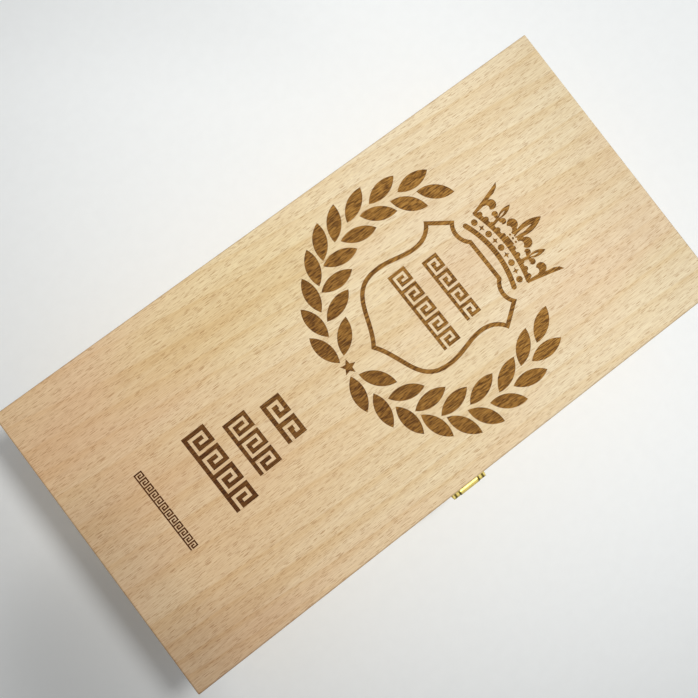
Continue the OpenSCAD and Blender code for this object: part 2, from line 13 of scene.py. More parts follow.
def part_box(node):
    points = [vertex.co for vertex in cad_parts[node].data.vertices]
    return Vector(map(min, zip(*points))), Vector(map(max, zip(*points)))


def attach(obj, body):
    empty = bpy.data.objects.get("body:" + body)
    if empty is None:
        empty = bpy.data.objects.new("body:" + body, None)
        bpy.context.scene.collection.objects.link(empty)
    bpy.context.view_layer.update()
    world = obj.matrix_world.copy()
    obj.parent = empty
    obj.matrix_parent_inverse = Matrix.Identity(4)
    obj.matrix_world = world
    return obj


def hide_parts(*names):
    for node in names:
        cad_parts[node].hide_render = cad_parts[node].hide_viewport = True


bl_info = {
    "name": "Wooden Wine Box",
    "version": (1, 0, 0),
    "blender": (4, 5, 0),
    "location": "View3D > Sidebar > Wine Box",
    "description": "Dresses a beech wine box: wood, engraving, brass and a plain stage",
    "category": "Object",
}

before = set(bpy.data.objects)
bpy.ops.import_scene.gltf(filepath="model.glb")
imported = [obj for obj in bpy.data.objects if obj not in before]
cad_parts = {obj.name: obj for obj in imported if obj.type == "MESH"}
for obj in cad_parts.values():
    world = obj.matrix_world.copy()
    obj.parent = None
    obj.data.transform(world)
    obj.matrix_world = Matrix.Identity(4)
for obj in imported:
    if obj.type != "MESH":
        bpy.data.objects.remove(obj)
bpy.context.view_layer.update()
LID_LOW, LID_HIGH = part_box("lid_panel")
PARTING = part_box("front_wall")[1].z
BASE_LOW, BASE_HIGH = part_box("base_panel")
MM = 0.001
# Points of a CAD mesh nearer than this are one point
JOIN = 1e-6
WHITE = (1.0, 1.0, 1.0)
BLACK = (0.0, 0.0, 0.0)
MATT = {"Specular IOR Level": 0.2}
METALLIC = {"Metallic": 1.0}


def display(red, green, blue):
    """A colour as a screen shows it, 0 to 255, turned into the linear values that shaders use."""
    return tuple(
        c / 12.92 if c <= 0.04045 else ((c + 0.055) / 1.055) ** 2.4
        for c in (red / 255, green / 255, blue / 255)
    )


def darker(colour, share):
    """A colour with a share of its light left."""
    return tuple(c * share for c in colour)


# ---------------------------------------------------------------- node trees


class Socket:
    """An output in a node tree. Python's operators on it add Math or Vector Math nodes."""

    def __init__(self, tree, output):
        self.tree = tree
        self.output = output

    @property
    def many(self):
        return self.output.type in {"VECTOR", "RGBA"}

    def _maths(self, operation, first, second):
        values = (first, second)
        if any(isinstance(v, tuple) or (isinstance(v, Socket) and v.many) for v in values):
            kind = "ShaderNodeVectorMath"
            values = tuple((v,) * 3 if isinstance(v, (int, float)) else v for v in values)
        else:
            kind = "ShaderNodeMath"
        return self.tree.node(kind, {"operation": operation}, dict(enumerate(values)))

    def __add__(self, other):
        return self._maths("ADD", self, other)

    def __radd__(self, other):
        return self._maths("ADD", other, self)

    def __sub__(self, other):
        return self._maths("SUBTRACT", self, other)

    def __rsub__(self, other):
        return self._maths("SUBTRACT", other, self)

    def __mul__(self, other):
        return self._maths("MULTIPLY", self, other)

    def __rmul__(self, other):
        return self._maths("MULTIPLY", other, self)

    def __truediv__(self, other):
        return self._maths("DIVIDE", self, other)

    def __rtruediv__(self, other):
        return self._maths("DIVIDE", other, self)

    def __abs__(self):
        return self.tree.node("ShaderNodeMath", {"operation": "ABSOLUTE"}, {0: self})

    def least(self, other):
        return self._maths("MINIMUM", self, other)

    def most(self, other):
        return self._maths("MAXIMUM", self, other)

    def root(self):
        return self.tree.node("ShaderNodeMath", {"operation": "SQRT"}, {0: self})

    def wave(self):
        """The cosine of a number in turns."""
        return self.tree.node(
            "ShaderNodeMath", {"operation": "COSINE"}, {0: self * (2 * math.pi)}
        )

    def remainder(self):
        """What is left of a number above its whole part."""
        return self.tree.node("ShaderNodeMath", {"operation": "FRACT"}, {0: self})

    def rise(self, low, high):
        """0 below low, 1 above high, and smooth between them; low may be the larger."""
        return self.tree.node(
            "ShaderNodeMapRange",
            {"interpolation_type": "SMOOTHSTEP"},
            {"Value": self, "From Min": low, "From Max": high},
        )

    def parts(self):
        """The three numbers of a vector."""
        first = self.tree.node("ShaderNodeSeparateXYZ", sockets={0: self})
        return [first.beside(axis) for axis in "XYZ"]

    def beside(self, name):
        """Another output of the same node."""
        return Socket(self.tree, self.output.node.outputs[name])


class Tree:
    """A node tree that is filled by node()."""

    def __init__(self, tree):
        self.tree = tree
        tree.nodes.clear()

    def node(self, kind, settings=None, sockets=None, out=0):
        """Adds a node of a type, sets its settings and then its sockets' values or links."""
        made = self.tree.nodes.new(kind)
        for key, value in (settings or {}).items():
            setattr(made, key, value)
        for key, value in (sockets or {}).items():
            if isinstance(value, Socket):
                self.tree.links.new(value.output, made.inputs[key])
            else:
                made.inputs[key].default_value = value
        return Socket(self, made.outputs[out]) if made.outputs else None

    def vector(self, x, y, z):
        return self.node("ShaderNodeCombineXYZ", sockets={0: x, 1: y, 2: z})

    def in_sight(self):
        """1 for what the camera sees, in mirrors and glass too, and 0 for light cast on things."""
        path = self.node("ShaderNodeLightPath")
        seen = path.beside("Is Camera Ray").most(path.beside("Is Glossy Ray"))
        return seen.most(path.beside("Is Transmission Ray"))


class Finish(Tree):
    """A material in the making: its patterns, and the surface that takes them."""

    def __init__(self, name):
        self.material = bpy.data.materials.new(name)
        self.material.use_nodes = True
        super().__init__(self.material.node_tree)
        self.place = self.node("ShaderNodeTexCoord", out="Object")
        self.facing = self.node("ShaderNodeTexCoord", out="Normal")

    def mix(self, amount, first, second):
        """The first colour where amount is 0 and the second where it is 1."""
        first, second = ((*c, 1.0) if isinstance(c, tuple) else c for c in (first, second))
        return self.node(
            "ShaderNodeMix", {"data_type": "RGBA"}, {0: amount, 6: first, 7: second}, 2
        )

    def noise(self, where, detail=2.0, rough=0.5, warp=0.0):
        return self.node(
            "ShaderNodeTexNoise",
            {"noise_dimensions": "3D"},
            {"Vector": where, "Scale": 1.0, "Detail": detail, "Roughness": rough,
             "Distortion": warp},
        )

    def cells(self, where):
        """Distance to the nearest of scattered points, and two numbers that vary from point to point."""
        near = self.node("ShaderNodeTexVoronoi", {"feature": "F1"}, {"Vector": where, "Scale": 1.0})
        size, strength, _ = near.beside("Color").parts()
        return near, size, strength

    def patch_round(self, x, y, half_length, half_width):
        """1 at a place seen from above and 0 beyond an oval round it."""
        along, across, _ = self.place.parts()
        along, across = (along - x) / half_length, (across - y) / half_width
        return (along * along + across * across).rise(1.0, 0.0)

    def surface(self, colour, roughness, height, more, depth=0.05 * MM, strength=0.6):
        """Closes the material. The height's relief is as deep as depth, and more is set as it is."""
        relief = self.node(
            "ShaderNodeBump", sockets={"Strength": strength, "Distance": depth, "Height": height}
        )
        shader = self.node(
            "ShaderNodeBsdfPrincipled",
            sockets={"Base Color": colour, "Roughness": roughness, "Normal": relief, **more},
        )
        self.node("ShaderNodeOutputMaterial", sockets={"Surface": shader})
        return self.material


# ---------------------------------------------------------------- sizes and colours


def tint_property(name, description, *rgb):
    return bpy.props.FloatVectorProperty(
        name=name, description=description, subtype="COLOR", size=3, min=0, max=1,
        default=display(*rgb),
    )


def length_property(name, description, metres, high=0.1):
    return bpy.props.FloatProperty(
        name=name, description=description, default=metres, min=0, max=high, unit="LENGTH",
        precision=5,
    )


class WoodSettings(bpy.types.PropertyGroup):
    """Beech, seen from the size of a board down to its flecks."""

    light: tint_property("Light wood", "Palest tone of the beech", 238, 220, 182)
    dark: tint_property("Dark wood", "Darker bands of its figure", 226, 200, 154)
    rosy: tint_property("Rosy wood", "Pinkish patches of its figure", 229, 199, 162)
    fleck: tint_property("Flecks", "Short dark dashes along the grain", 158, 110, 60)
    end_grain: tint_property("End grain", "Tone of sawn board ends", 204, 166, 122)
    core: tint_property("Plywood core", "Inner ply between the two faces", 186, 148, 104)
    fleck_length: length_property("Fleck length", "Spacing of the flecks along the grain", 0.0058)
    fleck_width: length_property("Fleck width", "Spacing of the flecks across the grain", 0.00051)
    easing: length_property("Easing", "Rounding of the boards' edges", 0.0002, 0.002)
    lid_easing: length_property("Lid easing", "Rounding of the lid's outer edge", 0.00045, 0.002)


class EngravingSettings(bpy.types.PropertyGroup):
    """The burnt floor of the engraving."""

    pale: tint_property("Pale burn", "Burn in the crest", 152, 106, 44)
    deep: tint_property("Deep burn", "Burn in the lowest rows", 94, 52, 16)
    char: tint_property("Char", "Darkest lines of the burnt grain", 58, 28, 6)
    ridge: tint_property("Ridges", "Lightly burnt ridges of the grain", 186, 140, 70)
    depth: length_property("Depth", "Depth at which the burn is full", 0.0002, 0.002)


class BrassSettings(bpy.types.PropertyGroup):
    """Polished brass of the hinges, clasp and screws."""

    bright: tint_property("Bright brass", "Clean polished metal", 220, 200, 118)
    # The dull colour also stands for painted shade on the brass's sideways and downward faces
    dull: tint_property("Dull brass", "Metal with a little tarnish", 146, 119, 54)
    # This colour is also the painted shade beside the knuckles' seams
    grime_and_seam_shade: tint_property("Grime", "Dark metal beside the seams", 58, 44, 18)
    easing: length_property("Easing", "Rounding of the stamped edges", 0.0001, 0.001)
    dome: length_property("Screw dome", "Rise of a screw's head over its rim", 0.00025, 0.001)
    thread_pitch: length_property("Thread pitch", "Rise of the thread in one turn", 0.0009, 0.003)
    thread_depth: length_property("Thread depth", "Depth of the thread", 0.0003, 0.001)


class StageSettings(bpy.types.PropertyGroup):
    """Floor, lamp, daylight and camera."""

    floor: tint_property("Floor", "Pale table under the box", 249, 252, 253)
    focal: bpy.props.FloatProperty(
        name="Focal length", description="Of the camera, in millimetres on a 36 mm sensor",
        default=51.576, min=10, max=300,
    )
    key: bpy.props.FloatProperty(
        name="Key lamp", description="Power of the lamp over the right end", default=36.5,
        min=0, max=200, unit="POWER",
    )
    daylight: bpy.props.FloatProperty(
        name="Daylight", description="Strength of the even light from all round", default=0.35,
        min=0, max=5,
    )


class BoxSettings(bpy.types.PropertyGroup):
    """All the settings of the wine box."""

    wood: bpy.props.PointerProperty(type=WoodSettings)
    engraving: bpy.props.PointerProperty(type=EngravingSettings)
    brass: bpy.props.PointerProperty(type=BrassSettings)
    stage: bpy.props.PointerProperty(type=StageSettings)


# ---------------------------------------------------------------- finishes


class Beech(Finish):
    """Beech that is sawn with its grain along one axis and its rings' faces towards another."""

    def __init__(self, name, wood, along, through, shift):
        super().__init__(name)
        self.wood = wood
        x, y, z = self.place.parts()
        self.height = z
        axes = {"X": x, "Y": y, "Z": z}
        across = ({"X", "Y", "Z"} - {along, through}).pop()
        self.grain_in(self.vector(axes[along], axes[across], axes[through]) + shift)
        # Growth rings of the end grain, round a heart that lies beside the board
        rings_per_metre = 480.0
        spread, nearest, depth_range = 0.07, 0.02, 0.04
        _, sideways, inwards = shift
        wide = axes[across] - (sideways % spread - spread / 2)
        deep = axes[through] + (inwards % depth_range + nearest)
        radius = (wide * wide + deep * deep).root()
        rings = (radius * rings_per_metre + self.patch * 1.2).remainder()
        self.rings = rings * rings * rings.rise(1.0, 0.88)
        self.flecking = 0.75
        nx, ny, nz = self.facing.parts()
        self.sides = {"X": abs(nx), "Y": abs(ny), "Z": abs(nz)}
        self.end = self.faced(self.sides[along])

    @staticmethod
    def faced(side):
        """1 where the surface looks along an axis, from that axis's share of its normal."""
        return side.rise(0.45, 0.8)

    def grain_in(self, turned):
        """Reads the figure, flecks and fibres where x runs along the grain and z through the rings."""
        wander = self.noise(turned * (5.0, 9.0, 9.0), 1.0)
        turned = turned + self.vector(0.0, wander * (2.4 * MM), 0.0)
        wood = self.wood
        self.broad = self.noise(turned * (2.6, 34.0, 24.0), 3.0, 0.5)
        self.patch = self.noise(turned * (9.0, 22.0, 14.0) + (3.1, 1.7, 0.4), 2.0)
        self.bands = self.noise(turned * (7.0, 210.0, 120.0), 3.0, 0.65)
        self.fibre = self.noise(turned * (110.0, 2300.0, 1500.0), 2.0, 0.6)
        self.streak = self.noise(turned * (240.0, 2300.0, 1600.0), 3.0, 0.55)
        length, across, _ = turned.parts()
        sway = self.noise(turned * (2.2, 13.0, 11.0) + 2.6, 1.0)
        ring = (across * 74.0 + length * 6.0 + sway * 4.0).remainder()
        self.ring = ring * ring * ring * ring.rise(1.0, 0.9)
        per_fleck = (1 / wood.fleck_length, 1 / wood.fleck_width, 1 / (2.4 * MM))
        self.small = self.dashes(turned * per_fleck, 0.17, 0.22, 0.3)
        per_fleck = (0.62 / wood.fleck_length, 0.7 / wood.fleck_width, 1 / (3.0 * MM))
        self.large = self.dashes(turned * per_fleck + 5.3, 0.1, 0.17, 0.4)

    def dashes(self, where, smallest, range_of_sizes, faintest):
        """Spots of varied size and strength, one in each cell."""
        near, size, strength = self.cells(where)
        radius = smallest + range_of_sizes * size
        return (near / radius).rise(1.0, 0.8) * (faintest + (1.0 - faintest) * strength)

    def timber(self):
        """Colour of the sawn surface, its end grain included."""
        wood = self.wood
        tone = (self.broad * 0.45 + self.bands * 0.36 + self.ring * 0.22).rise(0.28, 0.64)
        colour = self.mix(tone, tuple(wood.light), tuple(wood.dark))
        colour = self.mix(self.patch.rise(0.45, 0.75) * 0.55, colour, tuple(wood.rosy))
        colour = self.mix(self.fibre.rise(0.37, 0.7) * 0.3, colour, tuple(wood.fleck))
        flecks = (self.small * 0.7).most(self.large * 0.64) * self.flecking
        colour = self.mix(flecks, colour, tuple(wood.fleck))
        ends = self.mix(
            (self.fibre * 0.35 + self.small * 0.2 + self.rings * 0.6).least(1.0),
            tuple(wood.end_grain),
            darker(wood.end_grain, 0.62),
        )
        return self.mix(self.end * 0.85, colour, ends)

    def relief(self):
        return 1.0 - self.small * 0.45 - self.large * 0.6 - self.fibre * 0.35

    def polish(self):
        return 0.52 + 0.1 * self.fibre + 0.1 * self.small + 0.08 * self.end


def board_finish(name, wood, along, through, shift, shade=1.0):
    """Solid beech for one board. A shade below 1 makes it a little darker than its neighbours."""
    beech = Beech(name, wood, along, through, shift)
    colour = beech.timber() * (shade * 1.03, shade * 0.975, shade * 0.94)
    # Dust and shade in the joint between box and lid
    parting = abs(beech.height - PARTING).rise(0.5 * MM, 0.1 * MM) * beech.sides["Z"].rise(0.8, 0.4)
    colour = beech.mix(parting * 0.62, colour, darker(wood.end_grain, 0.3))
    return beech.surface(colour, beech.polish(), beech.relief(), MATT)


class Ply(Beech):
    """Three-ply board with the face grain along x and the core's grain along y."""

    def __init__(self, name, wood, shift, low, high):
        Finish.__init__(self, name)
        self.wood = wood
        self.x, self.y, self.z = self.place.parts()
        share = (self.z - low) / (high - low)
        # The core fills about the middle two fifths, between two lines of glue
        self.centre = abs(share - 0.5).rise(0.2, 0.18)
        self.glue = abs(abs(share - 0.5) - 0.19).rise(0.025, 0.012)
        face = self.vector(self.x, self.y, self.z)
        core = self.vector(self.y, self.x, self.z)
        turned = self.node(
            "ShaderNodeMix", {"data_type": "VECTOR"}, {0: self.centre, 4: face, 5: core}, 1
        )
        self.grain_in(turned + shift)
        nx, ny, nz = self.facing.parts()
        self.rim = abs(nz).rise(0.75, 0.35)
        self.flecking = 1.0 - self.rim * 0.8
        self.rings = 0.0
        end_x, end_y = self.faced(abs(nx)), self.faced(abs(ny))
        self.end = end_x + (end_y - end_x) * self.centre

    def timber(self):
        colour = super().timber()
        colour = self.mix(self.centre * self.rim * 0.7, colour, tuple(self.wood.core))
        return self.mix(self.glue * self.rim * 0.75, colour, darker(self.wood.core, 0.4))


def ply_finish(name, wood, shift, low, high):
    """Plain three-ply board for the base."""
    ply = Ply(name, wood, shift, low, high)
    return ply.surface(ply.timber(), ply.polish(), ply.relief(), MATT)


def engraved_finish(name, wood, burn, shift):
    """The lid: three-ply board whose face is burnt wherever it lies below its top."""
    top = LID_HIGH.z
    ply = Ply(name, wood, shift, LID_LOW.z, top)
    colour = ply.timber()
    # Painted shade on the rounded-over edge: a dark line where the face rounds over, but not at the
    # right end, and darkest along the front and the left end
    inset = (LID_HIGH.x - abs(ply.x)).least(LID_HIGH.y - abs(ply.y))
    rounding = ply.z.rise(top - 1.1 * MM, top - 0.4 * MM)
    shaded_edge_reach = (LID_HIGH.x + ply.x).least(LID_HIGH.y - abs(ply.y))
    edge_shade = shaded_edge_reach.rise(0.9 * MM, 0.1 * MM) * rounding
    colour = ply.mix(edge_shade * 0.45, colour, darker(wood.end_grain, 0.6))
    # More painted shade on the rounding along the front and the left end
    dark = (LID_HIGH.x + ply.x).least(LID_HIGH.y + ply.y).rise(1.1 * MM, 0.35 * MM) * rounding
    colour = ply.mix(dark * 0.22, colour, darker(wood.end_grain, 0.3))
    # The left end is rosier, the back has a golden patch, and towards the crown it is less yellow.
    # Painted shade darkens the left end's front corner, and both ends a little.
    rosy_end = ply.x.rise(0.03, -0.2)
    golden = ply.patch_round(-0.05, 0.065, 0.09, 0.045)
    front_corner_shade = ply.patch_round(-0.18, -0.09, 0.09, 0.05)
    rosy_patch = ply.patch_round(-0.08, -0.03, 0.1, 0.025)
    by_the_crown = ply.x.rise(0.02, 0.08)
    # Painted shade towards the right end and over the front half of the left end
    right_end = ply.x.rise(0.12, 0.18)
    left_end = ply.x.rise(-0.135, -0.178) * ply.y.rise(0.05, 0.01)
    for where, tint in (
        (rosy_end, (1.0, 0.87, 0.8)),
        (golden, (0.965, 0.955, 0.87)),
        (front_corner_shade, (0.86, 0.82, 0.82)),
        (rosy_patch, (0.97, 0.93, 0.88)),
        (by_the_crown, (0.99, 1.01, 1.06)),
        (right_end, (0.92, 0.925, 0.92)),
        (left_end, (0.88, 0.91, 0.94)),
    ):
        colour = colour * ply.mix(where, WHITE, tint)
    # Burn, deeper towards the lowest rows, with the grain standing in it
    inside = inset.rise(1.5 * MM, 2.5 * MM)
    skin = ply.z.rise(top - 2.0 * MM, top - 1.5 * MM)
    burnt = ply.z.rise(top - 0.03 * MM, top - burn.depth) * skin * inside
    burnt = burnt * (1.0 - ply.rim * 0.25)
    tone = (ply.x + (ply.broad - 0.5) * 0.05).rise(-0.16, 0.1)
    burn_colour = ply.mix(tone, tuple(burn.deep), tuple(burn.pale))
    burn_colour = ply.mix(ply.streak.rise(0.5, 0.36) * tone * 0.65, burn_colour, tuple(burn.ridge))
    lines = (ply.streak.rise(0.47, 0.61) * 0.75 + ply.small * 0.22 + ply.large * 0.15).least(0.9)
    burn_colour = ply.mix(lines, burn_colour, tuple(burn.char))
    colour = ply.mix(burnt, colour, burn_colour)
    height = ply.relief() - burnt * (ply.small + ply.large + 2.0 * ply.streak) * 1.5
    return ply.surface(colour, ply.polish() + burnt * 0.22, height, MATT, depth=0.06 * MM)


def brass_finish(name, brass, along="X", dull=0.35, seams=(), pin_z=0.0):
    """Polished brass with fine lines along one axis, tarnished in patches, with painted shade on faces
    that turn away from straight up and dirt and painted shade at its knuckles' seams.
    """
    metal = Finish(name)
    x, y, z = metal.place.parts()
    turned = metal.vector(x, y, z) if along == "X" else metal.vector(z, x, y)
    lines = metal.noise(turned * (260.0, 5200.0, 5200.0), 2.0, 0.6)
    cloud = metal.noise(metal.place * 420.0, 4.0, 0.6, 0.4)
    specks = metal.noise(metal.place * 2600.0, 2.0).rise(0.62, 0.76)
    _, _, up = metal.facing.parts()
    # Painted shade: faces that turn away from straight up take the dull colour
    shade = up.rise(0.85, 0.0)
    tarnish_and_shade = (cloud.rise(0.4, 0.7) * dull + shade * dull * 1.5 + specks * 0.3).least(1.0)
    colour = metal.mix(tarnish_and_shade, tuple(brass.bright), tuple(brass.dull))
    # Dirty specks all over, and dirt with painted shade on the rolled barrel within about 1 mm of each
    # seam
    grime_and_seam_shade = specks * 0.2
    for seam in seams:
        beside = abs(abs(x) - seam).rise(1.1 * MM, 0.2 * MM)
        rolled = abs(z - pin_z).rise(2.9 * MM, 2.2 * MM)
        grime_and_seam_shade = grime_and_seam_shade.most(beside * rolled)
    colour = metal.mix(grime_and_seam_shade * 0.9, colour, tuple(brass.grime_and_seam_shade))
    roughness = 0.34 + lines * 0.14 + tarnish_and_shade * 0.2
    height = lines * 0.6 - specks * 0.5
    return metal.surface(colour, roughness, height, METALLIC, depth=0.01 * MM, strength=0.35)


# ---------------------------------------------------------------- pieces from the frame


def islands(node):
    """Boxes of the separate solids in a CAD node, each as its lowest and highest corner."""
    mesh = bmesh.new()
    mesh.from_mesh(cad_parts[node].data)
    bmesh.ops.remove_doubles(mesh, verts=mesh.verts, dist=JOIN)
    left = set(mesh.verts)
    boxes = []
    while left:
        reach, found = [left.pop()], []
        while reach:
            vert = reach.pop()
            found.append(vert.co.copy())
            for edge in vert.link_edges:
                other = edge.other_vert(vert)
                if other in left:
                    left.remove(other)
                    reach.append(other)
        boxes.append(
            tuple(Vector([pick(c[i] for c in found) for i in range(3)]) for pick in (min, max))
        )
    mesh.free()
    return sorted(boxes, key=lambda b: tuple(round(v, 5) for v in b[0]))


def put_in_scene(name, data):
    """A new object in the scene, made of a mesh, a light or a camera."""
    made = bpy.data.objects.new(name, data)
    bpy.context.scene.collection.objects.link(made)
    return made


def add_piece(name, mesh, material, body, node):
    """Puts a mesh in the scene as a piece that rides on a body and stands for a CAD node."""
    piece = put_in_scene(name, mesh)
    mesh.materials.clear()
    mesh.materials.append(material)
    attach(piece, body)
    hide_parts(node)
    return piece


def soften(mesh, sharp=math.radians(28)):
    """Smooth shading that stays crisp over edges sharper than an angle."""
    work = bmesh.new()
    work.from_mesh(mesh)
    for face in work.faces:
        face.smooth = True
    for edge in work.edges:
        edge.smooth = len(edge.link_faces) == 2 and edge.calc_face_angle(0) < sharp
    work.to_mesh(mesh)
    work.free()


def whole_copy(node, flatten=True):
    """The mesh of a CAD node with its triangles joined up and its flat faces made whole."""
    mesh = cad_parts[node].data.copy()
    mesh.name = node + "_copy"
    work = bmesh.new()
    work.from_mesh(mesh)
    bmesh.ops.remove_doubles(work, verts=work.verts, dist=JOIN)
    if flatten:
        bmesh.ops.dissolve_limit(
            work, angle_limit=math.radians(0.5), verts=work.verts, edges=work.edges
        )
    work.to_mesh(mesh)
    work.free()
    normals = mesh.attributes.get("custom_normal")
    if normals is not None:
        mesh.attributes.remove(normals)
    soften(mesh)
    return mesh


def ease(piece, width, segments=2, method="ANGLE"):
    """Rounds a piece's edges: its sharp ones, or with the method WEIGHT its marked ones."""
    bevel = piece.modifiers.new("Eased edges", "BEVEL")
    bevel.width = width
    bevel.segments = segments
    bevel.limit_method = method
    bevel.angle_limit = math.radians(40)
    bevel.harden_normals = True


def eased_piece(name, node, material, body, width):
    """A CAD node's shape with eased edges and its finish."""
    piece = add_piece(name, whole_copy(node), material, body, node)
    ease(piece, width)


class WINEBOX_OT_panels(bpy.types.Operator):
    """Make the engraved lid board and the base board"""

    bl_idname = "wine_box.panels"
    bl_label = "Lid and Base Boards"

    def execute(self, context):
        settings = context.scene.wine_box
        wood = settings.wood
        mesh = whole_copy("lid_panel", flatten=False)
        marked = self.mark_outline(mesh)
        if marked < 12:
            raise RuntimeError(f"the lid board shows only {marked} outer edges")
        finish = engraved_finish("Engraved beech ply", wood, settings.engraving, (0.31, 0.12, 0.0))
        lid = add_piece("lid_board", mesh, finish, "lid", "lid_panel")
        ease(lid, wood.lid_easing, 3, "WEIGHT")
        eased_piece(
            "base_board", "base_panel",
            ply_finish("Beech ply base", wood, (0.83, 0.4, 0.2), BASE_LOW.z, BASE_HIGH.z),
            "box", wood.easing,
        )
        return {"FINISHED"}

    @staticmethod
    def mark_outline(mesh):
        """Marks the twelve outer edges of the lid board for its bevel, and counts their pieces."""
        weight = mesh.attributes.new("bevel_weight_edge", "FLOAT", "EDGE")
        count = 0
        near = 0.01 * MM
        for edge in mesh.edges:
            ends = [mesh.vertices[i].co for i in edge.vertices]
            faces = [
                all(abs(abs(c.x) - LID_HIGH.x) < near for c in ends),
                all(abs(abs(c.y) - LID_HIGH.y) < near for c in ends),
                all(abs(c.z - LID_HIGH.z) < near or abs(c.z - LID_LOW.z) < near for c in ends)
                and abs(ends[0].z - ends[1].z) < near,
            ]
            if sum(faces) >= 2:
                weight.data[edge.index].value = 1.0
                count += 1
        return count


# Board: piece name, CAD node, body, grain's axis, axis through the rings, shift of the pattern, shade
BOARDS = [
    ("box_front", "front_wall", "box", "X", "Y", (0.11, 0.5, 0.03), 0.97),
    ("box_back", "back_wall", "box", "X", "Y", (0.57, 0.2, 0.3), 0.99),
    ("box_left_end", "left_end_wall", "box", "Y", "X", (0.21, 0.9, 0.6), 0.96),
    ("box_right_end", "right_end_wall", "box", "Y", "X", (0.71, 0.4, 0.9), 0.98),
    ("lid_front", "lid_front_rail", "lid", "X", "Y", (0.115, 0.5, 0.03), 0.97),
    ("lid_back", "lid_back_rail", "lid", "X", "Y", (0.575, 0.2, 0.3), 0.99),
    ("lid_left_end", "lid_left_rail", "lid", "Y", "X", (0.215, 0.9, 0.6), 0.96),
    ("lid_right_end", "lid_right_rail", "lid", "Y", "X", (0.715, 0.4, 0.9), 0.98),
]
RACKS = [
    ("rack_divider", "divider", "box", "X", "Y", (0.37, 1.5, 1.3), 1.0),
    ("rack_bottle_rest", "bottle_rest", "box", "Y", "X", (0.91, 1.9, 1.6), 0.98),
    ("rack_neck_rest", "neck_rest", "box", "Y", "X", (0.13, 2.4, 1.9), 0.99),
]


def make_boards(context, boards):
    wood = context.scene.wine_box.wood
    for name, node, body, along, through, shift, shade in boards:
        finish = board_finish("Beech " + name.replace("_", " "), wood, along, through, shift, shade)
        eased_piece(name, node, finish, body, wood.easing)


class WINEBOX_OT_boards(bpy.types.Operator):
    """Make the finger-jointed walls of the box and the rails of the lid"""

    bl_idname = "wine_box.boards"
    bl_label = "Walls and Rails"

    def execute(self, context):
        make_boards(context, BOARDS)
        return {"FINISHED"}


class WINEBOX_OT_racks(bpy.types.Operator):
    """Make the divider and the two rests for the bottles"""

    bl_idname = "wine_box.racks"
    bl_label = "Bottle Racks"

    def execute(self, context):
        make_boards(context, RACKS)
        return {"FINISHED"}


def lathe(profile, steps=32):
    """A closed shape turned round the x axis from points (x, radius), first and last on the axis."""
    work = bmesh.new()
    rings = []
    for x, radius in profile:
        if radius == 0:
            rings.append([work.verts.new((x, 0, 0))])
        else:
            angles = [2 * math.pi * i / steps for i in range(steps)]
            rings.append(
                [work.verts.new((x, radius * math.cos(a), radius * math.sin(a))) for a in angles]
            )
    for before, after in zip(rings, rings[1:]):
        for i in range(steps):
            j = (i + 1) % steps
            corners = [before[i % len(before)], before[j % len(before)],
                       after[j % len(after)], after[i % len(after)]]
            work.faces.new(list(dict.fromkeys(corners)))
    bmesh.ops.recalc_face_normals(work, faces=work.faces)
    mesh = bpy.data.meshes.new("Turned")
    work.to_mesh(mesh)
    work.free()
    return mesh


def pin_mesh(node):
    """A pin with a domed head at each end, in the place of a CAD pin."""
    low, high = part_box(node)
    half = (high.x - low.x) / 2
    head = (high.z - low.z) / 2
    head_h = 0.5 * MM
    head_edge = 0.4 * MM
    shank = head - head_edge
    dome = [
        (half - head_h * (1 - math.sin(a)), head * math.cos(a))
        for a in [math.radians(10 * i) for i in range(0, 9)]
    ]
    right = [(half - head_h, shank), (half - head_h, head * 0.98), *dome, (half, 0)]
    profile = [(-x, r) for x, r in reversed(right)] + right
    mesh = lathe(profile)
    mesh.transform(Matrix.Translation((low + high) / 2))
    soften(mesh)
    return mesh


def make_pin(name, node, body, finish_name, brass):
    add_piece(name, pin_mesh(node), brass_finish(finish_name, brass), body, node)


class WINEBOX_OT_hinges(bpy.types.Operator):
    """Make the leaves and pins of the two hinges"""

    bl_idname = "wine_box.hinges"
    bl_label = "Hinges"

    def execute(self, context):
        brass = context.scene.wine_box.brass
        finish = brass_finish("Brass sheet", brass)
        for side in ("left", "right"):
            for body in ("box", "lid"):
                eased_piece(
                    f"hinge_{side}_{body}_plate", f"hinge_{side}_{body}_leaf", finish, body,
                    brass.easing,
                )
            make_pin(
                f"hinge_{side}_axle", f"hinge_{side}_pin", "box", f"Brass pin {side}", brass
            )
        return {"FINISHED"}


class WINEBOX_OT_clasp(bpy.types.Operator):
    """Make the clasp's plate, pin and swinging hasp, and the catch"""

    bl_idname = "wine_box.clasp"
    bl_label = "Clasp"

    def execute(self, context):
        brass = context.scene.wine_box.brass
        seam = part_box("hasp")[1].x
        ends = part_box("clasp_plate")[1].x
        low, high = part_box("clasp_pin")
        pin_z = (low.z + high.z) / 2
        sheet = brass_finish(
            "Brass clasp sheet", brass, seams=(seam, ends - 1.6 * MM), pin_z=pin_z
        )
        hasp = brass_finish("Brass hasp", brass, dull=0.3, seams=(seam,), pin_z=pin_z)
        eased_piece("clasp_mount", "clasp_plate", sheet, "lid", brass.easing)
        eased_piece("catch_mount", "catch_plate", sheet, "box", brass.easing)
        make_pin("clasp_axle", "clasp_pin", "lid", "Brass clasp pin", brass)
        eased_piece("clasp_hasp", "hasp", hasp, "hasp", brass.easing)
        return {"FINISHED"}


# ---------------------------------------------------------------- screws


